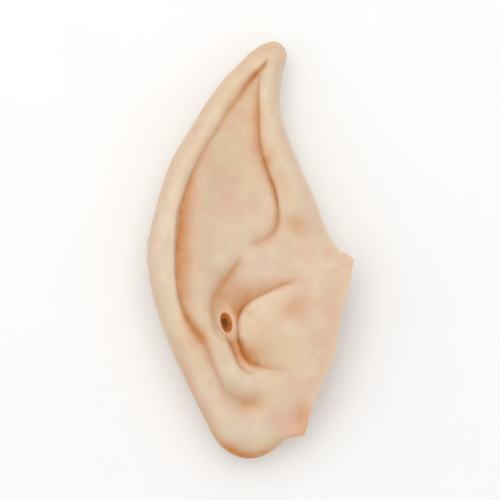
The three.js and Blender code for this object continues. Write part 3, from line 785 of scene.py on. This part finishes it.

# %% [markdown]
# ## The airbrush
#
# The paint is orange-brown and thin. It was sprayed along the folds, mostly on their soft sides. So each
# stroke is a path again, now with a strength and with how far the haze spread to either side, as shares of
# HAZE. The sum of all the paint is stored at each point, and the material reads it. Some of it is painted
# shade: on the flank of the tragus, along the rear rim and under the lobe, where the form faces away from
# the light. The stroke under the lobe is kept apart, because it wraps round the rim onto the back.

# %% Strokes
HAZE = 5.0
STROKE_COLUMNS = "across along strength left right"
STROKES = {
    "helix": table(STROKE_COLUMNS, [
        [0.58, 0.95, 0.2, 0.1, 0.1],
        [0.564, 0.936, 0.75, 0.16, 0.14],
        [0.521, 0.913, 0.9, 0.26, 0.26],
        [0.488, 0.893, 0.62, 0.3, 0.3],
        [0.454, 0.867, 0.5, 0.3, 0.32],
        [0.403, 0.832, 0.42, 0.26, 0.3],
        [0.35, 0.789, 0.34, 0.22, 0.24],
        [0.293, 0.747, 0.34, 0.24, 0.2],
        [0.243, 0.697, 0.4, 0.34, 0.12],
        [0.203, 0.652, 0.65, 0.5, 0.08],
        [0.173, 0.6, 0.8, 0.74, 0.08],
        [0.157, 0.541, 0.85, 1.0, 0.08],
        [0.151, 0.476, 0.8, 1.05, 0.08],
        [0.158, 0.417, 0.7, 0.9, 0.1],
        [0.177, 0.369, 0.65, 0.46, 0.14],
        [0.214, 0.327, 0.75, 0.42, 0.3],
        [0.262, 0.298, 0.8, 0.46, 0.5],
        [0.301, 0.265, 0.42, 0.3, 0.36],
        [0.33, 0.223, 0.32, 0.22, 0.24],
        [0.371, 0.183, 0.22, 0.16, 0.24],
        [0.426, 0.152, 0.26, 0.3, 0.3],
        [0.486, 0.137, 0.34, 0.5, 0.5],
        [0.57, 0.137, 0, 0.5, 0.5],
    ]),
    "brow": table(STROKE_COLUMNS, [
        [0.548, 0.912, 0.1, 0.06, 0.12],
        [0.539, 0.881, 0.46, 0.14, 0.36],
        [0.54, 0.832, 0.52, 0.22, 0.52],
        [0.542, 0.784, 0.5, 0.24, 0.52],
        [0.551, 0.737, 0.5, 0.26, 0.5],
        [0.58, 0.69, 0.46, 0.24, 0.36],
        [0.611, 0.652, 0.56, 0.16, 0.3],
        [0.631, 0.611, 0.55, 0.12, 0.26],
        [0.634, 0.576, 0.45, 0.16, 0.22],
        [0.62, 0.548, 0.5, 0.24, 0.28],
        [0.585, 0.529, 0.45, 0.32, 0.32],
        [0.542, 0.519, 0.35, 0.36, 0.36],
        [0.493, 0.51, 0, 0.3, 0.3],
    ]),
    "concha": table(STROKE_COLUMNS, [
        [0.455, 0.483, 0, 0.2, 0.2],
        [0.434, 0.465, 0.58, 0.26, 0.2],
        [0.41, 0.448, 0.6, 0.3, 0.22],
        [0.376, 0.427, 0.56, 0.4, 0.26],
        [0.34, 0.401, 0.5, 0.5, 0.24],
        [0.32, 0.375, 0.4, 0.5, 0.2],
        [0.317, 0.355, 0.4, 0.3, 0.14],
        [0.331, 0.33, 0.35, 0.2, 0.12],
        [0.359, 0.31, 0.3, 0.16, 0.1],
        [0.388, 0.292, 0.55, 0.26, 0.08],
        [0.409, 0.272, 0.7, 0.4, 0.06],
        [0.432, 0.246, 0.7, 0.36, 0.06],
        [0.457, 0.223, 0.45, 0.3, 0.08],
        [0.488, 0.213, 0.3, 0.16, 0.1],
        [0.528, 0.209, 0, 0.12, 0.12],
    ]),
    # The wide left haze of the lower rows is partly painted shade on the tragus's flank.
    "tragus": table(STROKE_COLUMNS, [
        [0.725, 0.429, 0, 0.1, 0.24],
        [0.7, 0.424, 0.5, 0.12, 0.28],
        [0.655, 0.417, 0.55, 0.1, 0.32],
        [0.57, 0.398, 0.5, 0.06, 0.62],
        [0.507, 0.382, 0.52, 0.06, 0.75],
        [0.464, 0.361, 0.55, 0.06, 0.62],
        [0.444, 0.341, 0.65, 0.05, 0.24],
        [0.44, 0.32, 0.4, 0.06, 0.12],
        [0.443, 0.299, 0.4, 0.1, 0.12],
        [0.451, 0.278, 0.55, 0.34, 0.16],
        [0.463, 0.258, 0.65, 0.58, 0.2],
        [0.486, 0.24, 0.8, 0.62, 0.2],
        [0.518, 0.23, 0.85, 0.5, 0.2],
        [0.563, 0.225, 0.55, 0.32, 0.24],
        [0.62, 0.22, 0.25, 0.32, 0.24],
        [0.669, 0.218, 0, 0.3, 0.24],
    ]),
}
# Under the lobe this stroke is partly painted shade, where the rim faces down and away from the light.
LOBE_STROKE_AND_SHADE = table(STROKE_COLUMNS, [
    [0.15, 0.26, 0, 0.24, 0.2],
    [0.225, 0.16, 0.3, 0.3, 0.2],
    [0.3, 0.085, 0.4, 0.32, 0.2],
    [0.345, 0.047, 0.55, 0.4, 0.2],
    [0.408, 0.021, 1.0, 0.56, 0.2],
    [0.486, 0.005, 1.05, 0.52, 0.2],
    [0.556, 0.012, 0.8, 0.4, 0.2],
    [0.62, 0.033, 0.4, 0.28, 0.2],
    [0.676, 0.052, 0.3, 0.24, 0.2],
    [0.732, 0.064, 0.3, 0.24, 0.2],
    [0.768, 0.074, 0.4, 0.24, 0.2],
    [0.782, 0.106, 0.2, 0.2, 0.2],
    [0.8, 0.14, 0, 0.2, 0.2],
])
print({name: len(stroke["strength"]) for name, stroke in STROKES.items()})

# %% [markdown]
# The rest is spots, as bells again: dabs of the same paint, patches of pink blush, and high places made
# paler, partly where the wet tint was wiped away and partly as a painted highlight. The sharp crest of the
# tragus is a painted highlight, drawn as a stroke with a path of its own.

# %% Dabs, blush, and wiped places with painted highlights
SPOT_COLUMNS = BELL_COLUMNS + " strength"
SPOTS = table(SPOT_COLUMNS, [
    [0.72, 0.558, 0.06, 0.022, -35, 0.44],  # beside the brow
    [0.589, 0.712, 0.03, 0.02, 0, 0.4],  # on the brow's crest
    [0.648, 0.655, 0.045, 0.045, 30, 0.2],  # in front of the brow
    [0.746, 0.105, 0.035, 0.032, -10, 0.44],  # the lower corner
    [0.4, 0.374, 0.09, 0.04, -35, 0.32],  # the bowl of the concha
    [0.5, 0.35, 0.02, 0.008, -60, 0.2],  # under the tragus's crest
    [0.704, 0.362, 0.08, 0.025, 25, 0.3],  # the dent of the tragus
    [0.62, 0.3, 0.08, 0.02, -30, 0.15],  # the side of the tragus
    # Painted shade: the next dab darkens the tragus's flank, which faces away from the light.
    [0.53, 0.268, 0.06, 0.028, -40, 0.35],  # the flank of the tragus
    [0.432, 0.352, 0.022, 0.012, 30, 0.18],  # between the hole and the tragus
    [0.437, 0.282, 0.025, 0.035, 30, 0.3],  # the groove under the hole
    [0.45, 0.405, 0.08, 0.025, -20, 0.16],  # over the hole
    [0.62, 0.975, 0.1, 0.03, 0, 0.14],  # the tip
    [0.4, 0.7, 0.2, 0.12, -20, 0.14],  # the basin
    [0.46, 0.83, 0.1, 0.06, 0, 0.16],  # the top of the basin
    [0.17, 0.27, 0.07, 0.08, 15, 0.14],  # the rim's lower part
    [0.5, 0.142, 0.07, 0.02, 0, 0.2],  # above the lobe
])
BLUSH = table(SPOT_COLUMNS, [
    [0.4, 0.645, 0.07, 0.04, 10, 0.6],  # the basin
    [0.53, 0.465, 0.06, 0.018, -15, 0.7],  # above the tragus
    [0.32, 0.235, 0.03, 0.05, 20, 0.7],  # beside the rim's lower fold
    [0.62, 0.105, 0.08, 0.022, 0, 0.6],  # the lower cheek flap
    [0.08, 0.46, 0.03, 0.04, 0, 0.5],  # the widest part of the rim
    [0.67, 0.605, 0.05, 0.03, 30, 0.6],  # the brow
    [0.36, 0.15, 0.05, 0.03, 20, 0.5],  # the rim above the lobe
    [0.8, 0.4, 0.06, 0.04, 0, 0.2],  # the cheek flap
    [0.25, 0.78, 0.03, 0.04, 30, 0.5],  # the upper rim
])
# High places made paler: partly a wiped tint, partly a painted highlight.
WIPES_AND_HIGHLIGHTS = table(SPOT_COLUMNS, [
    [0.53, 0.365, 0.07, 0.03, 20, 0.7],  # the crown of the tragus
    [0.64, 0.31, 0.1, 0.035, -20, 0.7],  # the middle of the tragus
    [0.42, 0.2, 0.09, 0.02, -25, 0.6],  # the ridge below the concha
    [0.47, 0.072, 0.13, 0.024, 0, 1.1],  # the pad of the lobe
    [0.39, 0.8, 0.08, 0.03, 40, 0.8],  # the upper basin
    [0.5, 0.655, 0.05, 0.03, 20, 0.5],  # the lower basin
    [0.62, 0.49, 0.1, 0.015, -20, 0.5],  # over the tragus's groove
    [0.79, 0.21, 0.05, 0.06, 0, 0.8],  # the foot of the cheek flap
])
# A painted highlight along the sharp crest of the tragus, where its edge catches the light.
CREST_HIGHLIGHT = table(STROKE_COLUMNS, [
    [0.67, 0.41, 0, 0.1, 0.1],
    [0.59, 0.394, 0.9, 0.1, 0.1],
    [0.525, 0.374, 1.3, 0.09, 0.1],
    [0.487, 0.354, 1.4, 0.09, 0.1],
    [0.467, 0.335, 1.0, 0.09, 0.1],
    [0.461, 0.317, 0, 0.1, 0.1],
])
print("dabs, patches of blush and wiped places:", [len(spots["lean"]) for spots in (SPOTS, BLUSH, WIPES_AND_HIGHLIGHTS)])

# %% [markdown]
# A sprayed line has a soft core and a quick end, between a bell and an exponential, which is what the power
# HAZE_POWER gives. The rolled rim has a haze of its own, partly paint and partly painted shade where the rim
# rounds off, and the raised lip of the hole took less paint.

# %% Paint at a place
HAZE_POWER = 1.6
RIM_STRENGTH, RIM_HAZE = 0.3, 1.2
LIP_SHARE = 0.8


def brushed(stroke, x, y):
    """A stroke's strength at each point: strength * exp(-(gap / haze) ** HAZE_POWER)."""
    path = smooth_path(stroke)
    gap, is_left, place = nearest(path, x, y)
    haze = side_reach(path, is_left, place) * HAZE
    return along_path(path, "strength", place) * np.exp(-((gap / haze) ** HAZE_POWER))


def dabbed(spots, x, y):
    """The bells of a table of spots, each times its strength, added up."""
    return sum(strength * bell for strength, bell in zip(spots["strength"], bells(spots, x, y)))


def rim_paint_and_shade(rear_gap, x, y):
    """Paint and painted shade round the rim onto the back: strength * exp(-gap / haze), and the lobe's
    stroke.
    """
    return RIM_STRENGTH * np.exp(-rear_gap / RIM_HAZE) + brushed(LOBE_STROKE_AND_SHADE, x, y)


def face_paint(x, y):
    """What only the face has: strokes and spots, a little less on the hole's lip."""
    total = dabbed(SPOTS, x, y) + sum(brushed(stroke, x, y) for stroke in STROKES.values())
    from_lip = np.abs(hole_gap(x, y) - LIP_WIDTH / 2)
    return total * mix(LIP_SHARE, 1, smooth(0, LIP_WIDTH / 2, from_lip))


hole_x, hole_y = np.array([HOLE["across"] * WIDTH]), np.array([HOLE["along"] * LENGTH])
print(f"the paint round the hole is {face_paint(hole_x, hole_y)[0]:.2f}")

# %% [markdown]
# A sprayed tint is wiped back while it is wet, so it stays in the hollows and the high places turn pale.
# This paleness on the high places is partly a painted highlight too. To find them, the face's height is
# compared with its own average over a few millimetres. A Gaussian blur of a raster is a plain product once
# both are Fourier transforms, so the average costs almost nothing.

# %% High and low places
RASTER = 0.5
BLUR = 3.2
LEAST_INSIDE = 0.05
TO_LAST_CELL = 1.001


def blurred(values, reach):
    """A Gaussian blur: the Fourier transform times exp(-2 (pi reach f)^2), transformed back."""
    fy, fx = np.fft.fftfreq(values.shape[0], RASTER), np.fft.rfftfreq(values.shape[1], RASTER)
    damping = np.exp(-2 * (np.pi * reach) ** 2 * (fy[:, None] ** 2 + fx**2))
    return np.fft.irfft2(np.fft.rfft2(values) * damping, values.shape)


def relief_raster():
    """The face's height less its average around, in millimetres. What is outside the ear doesn't count."""
    x, y = np.arange(0, WIDTH, RASTER), np.arange(0, LENGTH, RASTER)
    wide_x, wide_y = np.meshgrid(x, y)
    rear, front = outline(wide_y, 0)
    inside = ((wide_x > rear) & (wide_x < front)).astype(float)
    height = face_height(wide_x, wide_y, 0) * inside
    average = blurred(height, BLUR) / np.maximum(blurred(inside, BLUR), LEAST_INSIDE)
    return (height - average) * inside


def sample(raster, x, y):
    """Values of a raster between its places, straight in both directions."""
    u, v = (np.clip(c / RASTER, 0, n - TO_LAST_CELL) for c, n in zip((x, y), raster.shape[::-1]))
    i, j = u.astype(int), v.astype(int)
    top = mix(raster[j, i], raster[j, i + 1], u - i)
    return mix(top, mix(raster[j + 1, i], raster[j + 1, i + 1], u - i), v - j)


relief_map = relief_raster()
print(f"relief from {relief_map.min():.1f} to {relief_map.max():.1f} mm")

# %% [markdown]
# Four numbers go with each point: paint, blush, relief and raw. The relief says where the tint was wiped
# and where a painted highlight goes, so the wiped places and the painted highlight on the tragus's crest are
# added to it. Next to the rims it would jump, so there it is held at RIM_RELIEF. The hole's wall has its full
# paint from PAINT_START on, and raw is 1 on the inner skin.

# %% Paint, blush and relief at each point
RIM_RELIEF, RIM_BAND = 0.25, (0.5, 3.5)
HOLE_PAINT, PAINT_START = 1.6, 0.3

x, y = points[:, :2].T
face_share = np.clip(1 - kinds, 0, 1)
gaps = rim_gaps(x, y, 0)
near_rim = 1 - smooth(*RIM_BAND, np.minimum(*gaps))
# Paler high places: partly a wiped tint, partly a painted highlight.
wipes_and_highlights = sample(relief_map, x, y) + dabbed(WIPES_AND_HIGHLIGHTS, x, y) + brushed(CREST_HIGHLIGHT, x, y)
relief = mix(wipes_and_highlights, RIM_RELIEF, np.maximum(near_rim, 1 - face_share))
blush = dabbed(BLUSH, x, y) * face_share
on_face = (kinds >= 0) & (kinds < 1)
# Along the rear rim and under the lobe the paint is partly painted shade.
paint = rim_paint_and_shade(gaps[0], x, y) * np.clip(2 - kinds, 0, 1)
paint[on_face] += face_paint(x[on_face], y[on_face]) * face_share[on_face]
paint = np.where(kinds < 0, HOLE_PAINT * smooth(0, PAINT_START, -kinds), paint)
raw = np.clip(kinds - 1, 0, 1)
print(f"paint from {paint.min():.2f} to {paint.max():.2f}, on {on_face.sum()} points")

# %% [markdown]
# ## The mesh
#
# The arrays go into a Blender mesh in one call each. Back in metres and in the frame's own place, the piece
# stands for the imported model's shell and rides on the same body.

# %% Make the ear
def make_ear():
    """The ear as one object at the origin, with its place in its mesh and its paint in attributes."""
    mesh = bpy.data.meshes.new("ear_skin")
    placed = (points + ear_low) * MM
    mesh.vertices.add(len(placed))
    mesh.vertices.foreach_set("co", placed.ravel())
    mesh.loops.add(triangles.size)
    mesh.loops.foreach_set("vertex_index", triangles.ravel())
    mesh.polygons.add(len(triangles))
    mesh.polygons.foreach_set("loop_start", np.arange(0, triangles.size, 3))
    mesh.polygons.foreach_set("use_smooth", np.ones(len(triangles), bool))
    for name, values in {"paint": paint, "blush": blush, "relief": relief, "raw": raw}.items():
        mesh.attributes.new(name, "FLOAT", "POINT").data.foreach_set("value", values)
    mesh.update(calc_edges=True)
    mesh.validate()
    ear = bpy.data.objects.new("ear_skin", mesh)
    bpy.context.collection.objects.link(ear)
    return ear


ear_skin = make_ear()
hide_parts("ear_shell")
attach(ear_skin, "root")
print("ear_skin:", len(ear_skin.data.polygons), "triangles")

# %% [markdown]
# ## Shader maths as Python
#
# A node tree is easier to read as formulas. `Wire` wraps a socket, so that `a * 0.5 + b` adds the Math nodes
# it needs, and `Nodes.add` makes any other node from its settings and its inputs. A Mix node has sockets for
# each type of value, so the ones for colours are given by their places.

# %% A small language for nodes
MIX_SHARE, MIX_FIRST, MIX_SECOND, MIX_RESULT = 0, 6, 7, 2


class Wire:
    """An output socket that can be added, subtracted and multiplied."""

    def __init__(self, nodes, socket):
        self.nodes = nodes
        self.socket = socket

    def math(self, operation, *values):
        return self.nodes.add("ShaderNodeMath", {"operation": operation}, list(values))

    def __add__(self, other):
        return self.math("ADD", self, other)

    def __sub__(self, other):
        return self.math("SUBTRACT", self, other)

    def __rsub__(self, other):
        return self.math("SUBTRACT", other, self)

    def __mul__(self, other):
        return self.math("MULTIPLY", self, other)

    def clamp(self):
        return self.nodes.add("ShaderNodeClamp", {}, [self])

    __radd__ = __add__
    __rmul__ = __mul__


class Nodes:
    """The node tree of a material."""

    def __init__(self, material):
        material.use_nodes = True
        self.tree = material.node_tree
        self.tree.nodes.clear()

    def add(self, kind, settings=None, inputs=(), output=0):
        """A node of a type, with its settings made first and its inputs, by name or in order, after them."""
        node = self.tree.nodes.new(kind)
        for name, value in (settings or {}).items():
            setattr(node, name, value)
        pairs = inputs.items() if isinstance(inputs, dict) else enumerate(inputs)
        for name, value in pairs:
            if isinstance(value, Wire):
                self.tree.links.new(value.socket, node.inputs[name])
            else:
                node.inputs[name].default_value = value
        return Wire(self, node.outputs[output]) if node.outputs else None

    def attribute(self, name):
        """A number that is stored at each point of the mesh."""
        return self.add("ShaderNodeAttribute", {"attribute_name": name}, output="Fac")

    def noise(self, where, scale, detail, roughness=0.5):
        """Soft noise with about `scale` waves a metre."""
        inputs = {"Vector": where, "Scale": scale, "Detail": detail, "Roughness": roughness}
        return self.add("ShaderNodeTexNoise", {}, inputs)

    def stretch(self, value, low, high):
        """value as 0 at low and 1 at high, held between them."""
        inputs = {"Value": value, "From Min": low, "From Max": high}
        return self.add("ShaderNodeMapRange", {"clamp": True}, inputs)

    def blend(self, share, first, second, mode="MIX"):
        """Two colours mixed by a share."""
        settings = {"data_type": "RGBA", "blend_type": mode}
        inputs = {MIX_SHARE: share, MIX_FIRST: first, MIX_SECOND: second}
        return self.add("ShaderNodeMix", settings, inputs, MIX_RESULT)


print("node helpers ready")

# %% [markdown]
# ## The latex
#
# Cast latex is matt and slightly translucent, and it takes tints unevenly. Its colour here is a warm cream
# that drifts between pink and yellow over a centimetre or so, and is pale in clouds and on the high places,
# where the paleness is partly a wiped tint and partly a painted highlight. Where the paint lies it is
# multiplied by an orange-brown, and by a second coat where there is more than one; some of that paint is
# painted shade. The inside was never painted: it is raw latex, a deeper amber. Fine bumps of two kinds stand
# for the grain that the plaster mould leaves.

# %% The latex material
SCALES = {
    "drift": 70,
    "pinkness": 130,
    "clouds": 160,
    "roughness": 260,
    "spray": 420,
    "pores": 900,
    "grain": 1500,
}
PEACH = (0.71, 0.53, 0.385, 1)
PINK = (0.715, 0.475, 0.365, 1)
YELLOW = (0.715, 0.57, 0.395, 1)
PALE = (0.785, 0.67, 0.51, 1)
TINT = (0.82, 0.43, 0.13, 1)
AMBER = (0.96, 0.57, 0.25, 1)


def latex_material():
    """Tinted latex, its paint and raw inside read from the mesh's attributes."""
    material = bpy.data.materials.new("latex_skin")
    n = Nodes(material)
    where = n.add("ShaderNodeTexCoord", output="Object")

    drift = n.stretch(n.noise(where, SCALES["drift"], 3), 0.4, 0.6)
    pinkness = n.stretch(n.noise(where, SCALES["pinkness"], 4, 0.6), 0.48, 0.68)
    clouds = n.stretch(n.noise(where, SCALES["clouds"], 3, 0.55), 0.46, 0.66)
    colour = n.blend(drift * 0.8, PEACH, YELLOW)
    colour = n.blend((pinkness * 0.6 + n.attribute("blush") * 0.6).clamp(), colour, PINK)
    # Pale where the tint was wiped and where a painted highlight goes.
    wiped_and_highlit_here = (clouds * 0.4 + n.stretch(n.attribute("relief"), -0.1, 1.9)).clamp()
    colour = n.blend(wiped_and_highlit_here * 0.7, colour, PALE)

    coats = n.attribute("paint") * (n.noise(where, SCALES["spray"], 3, 0.6) * 0.75 + 0.7)
    for below in (0, 1):
        colour = n.blend((coats - below).clamp(), colour, TINT, "MULTIPLY")
    colour = n.blend(n.attribute("raw"), colour, AMBER)

    grain = n.noise(where, SCALES["grain"], 3, 0.6)
    cells = {"Vector": where, "Scale": SCALES["pores"]}
    pores = n.add("ShaderNodeTexVoronoi", {"feature": "SMOOTH_F1"}, cells)
    height = grain * 0.5 + pores * 0.5
    bump = n.add("ShaderNodeBump", {}, {"Strength": 0.25, "Distance": 0.0002, "Height": height})
    rough = n.noise(where, SCALES["roughness"], 3) * 0.16 + 0.46

    shader = n.add("ShaderNodeBsdfPrincipled", {}, {
        "Base Color": colour,
        "Roughness": rough,
        "Normal": bump,
        "Subsurface Weight": 0.75,
        "Subsurface Radius": (1.0, 0.45, 0.25),
        "Subsurface Scale": 0.0035,
        "Specular IOR Level": 0.4,
        "Sheen Weight": 0.1,
        "Sheen Roughness": 0.5,
    })
    n.add("ShaderNodeOutputMaterial", {}, {"Surface": shader})
    return material


ear_skin.data.materials.append(latex_material())
print("materials:", [m.name for m in ear_skin.data.materials])

# %% [markdown]
# ## The floor, the light and the camera
#
# The ear lies on a pale table, seen from straight above. A big soft light above its tip, two fainter ones and
# a pale surrounding give the folds their gentle shade, as a light tent does.

# %% Floor
FLOOR_SIZE = 3.0
FLOOR_SHADE, FLOOR_DRIFT, FLOOR_SCALE = 0.91, 0.03, 30


def make_floor():
    """A wide pale plane at height 0, where the ear lies."""
    mesh = bpy.data.meshes.new("floor")
    half = FLOOR_SIZE / 2
    corners = [(-half, -half, 0), (half, -half, 0), (half, half, 0), (-half, half, 0)]
    mesh.from_pydata(corners, [], [(0, 1, 2, 3)])
    floor = bpy.data.objects.new("floor", mesh)
    material = bpy.data.materials.new("floor_paper")
    n = Nodes(material)
    where = n.add("ShaderNodeTexCoord", output="Object")
    shade = n.noise(where, FLOOR_SCALE, 4) * FLOOR_DRIFT + FLOOR_SHADE
    colour = n.add("ShaderNodeCombineColor", {}, [shade, shade, shade])
    shader = n.add("ShaderNodeBsdfPrincipled", {}, {"Base Color": colour, "Roughness": 0.8})
    n.add("ShaderNodeOutputMaterial", {}, {"Surface": shader})
    mesh.materials.append(material)
    bpy.context.collection.objects.link(floor)


make_floor()
print("the floor is", FLOOR_SIZE, "m wide")

# %% Lights
LIGHTS = {
    "sky": {"place": (0.0, 0.45, 0.9), "size": 1.0, "power": 4.6},
    "side": {"place": (-0.7, -0.1, 0.7), "size": 0.8, "power": 1.0},
    "front": {"place": (0.5, -0.5, 0.8), "size": 0.8, "power": 0.6},
}
SURROUNDING, SURROUNDING_STRENGTH = (1.0, 0.99, 0.975, 1), 0.66


def make_lights():
    """Square area lights, each turned towards the ear, and the pale surrounding."""
    for name, light in LIGHTS.items():
        lamp = bpy.data.lights.new(name, "AREA")
        lamp.size = light["size"]
        lamp.energy = light["power"]
        thing = bpy.data.objects.new(name, lamp)
        thing.location = light["place"]
        thing.rotation_euler = (-Vector(light["place"])).to_track_quat("-Z", "Y").to_euler()
        bpy.context.collection.objects.link(thing)
    world = bpy.data.worlds.new("studio")
    world.use_nodes = True
    background = world.node_tree.nodes["Background"]
    background.inputs["Color"].default_value = SURROUNDING
    background.inputs["Strength"].default_value = SURROUNDING_STRENGTH
    bpy.context.scene.world = world


make_lights()
bpy.context.scene.view_settings.view_transform = "Standard"
print("lights:", list(LIGHTS))

# %% Camera
CAMERA_LENS = 120.0
SENSOR = 36.0
FILL = 0.84


def make_camera():
    """A camera straight above the ear, so far away that the ear fills a named share of the frame."""
    data = bpy.data.cameras.new("camera")
    data.lens = CAMERA_LENS
    data.sensor_width = SENSOR
    camera = bpy.data.objects.new("camera", data)
    distance = LENGTH * MM / FILL * CAMERA_LENS / SENSOR
    camera.location = (0, 0, distance + DEPTH / 2 * MM)
    bpy.context.collection.objects.link(camera)
    bpy.context.scene.camera = camera
    return distance


print(f"the camera is {make_camera():.2f} m above the ear")
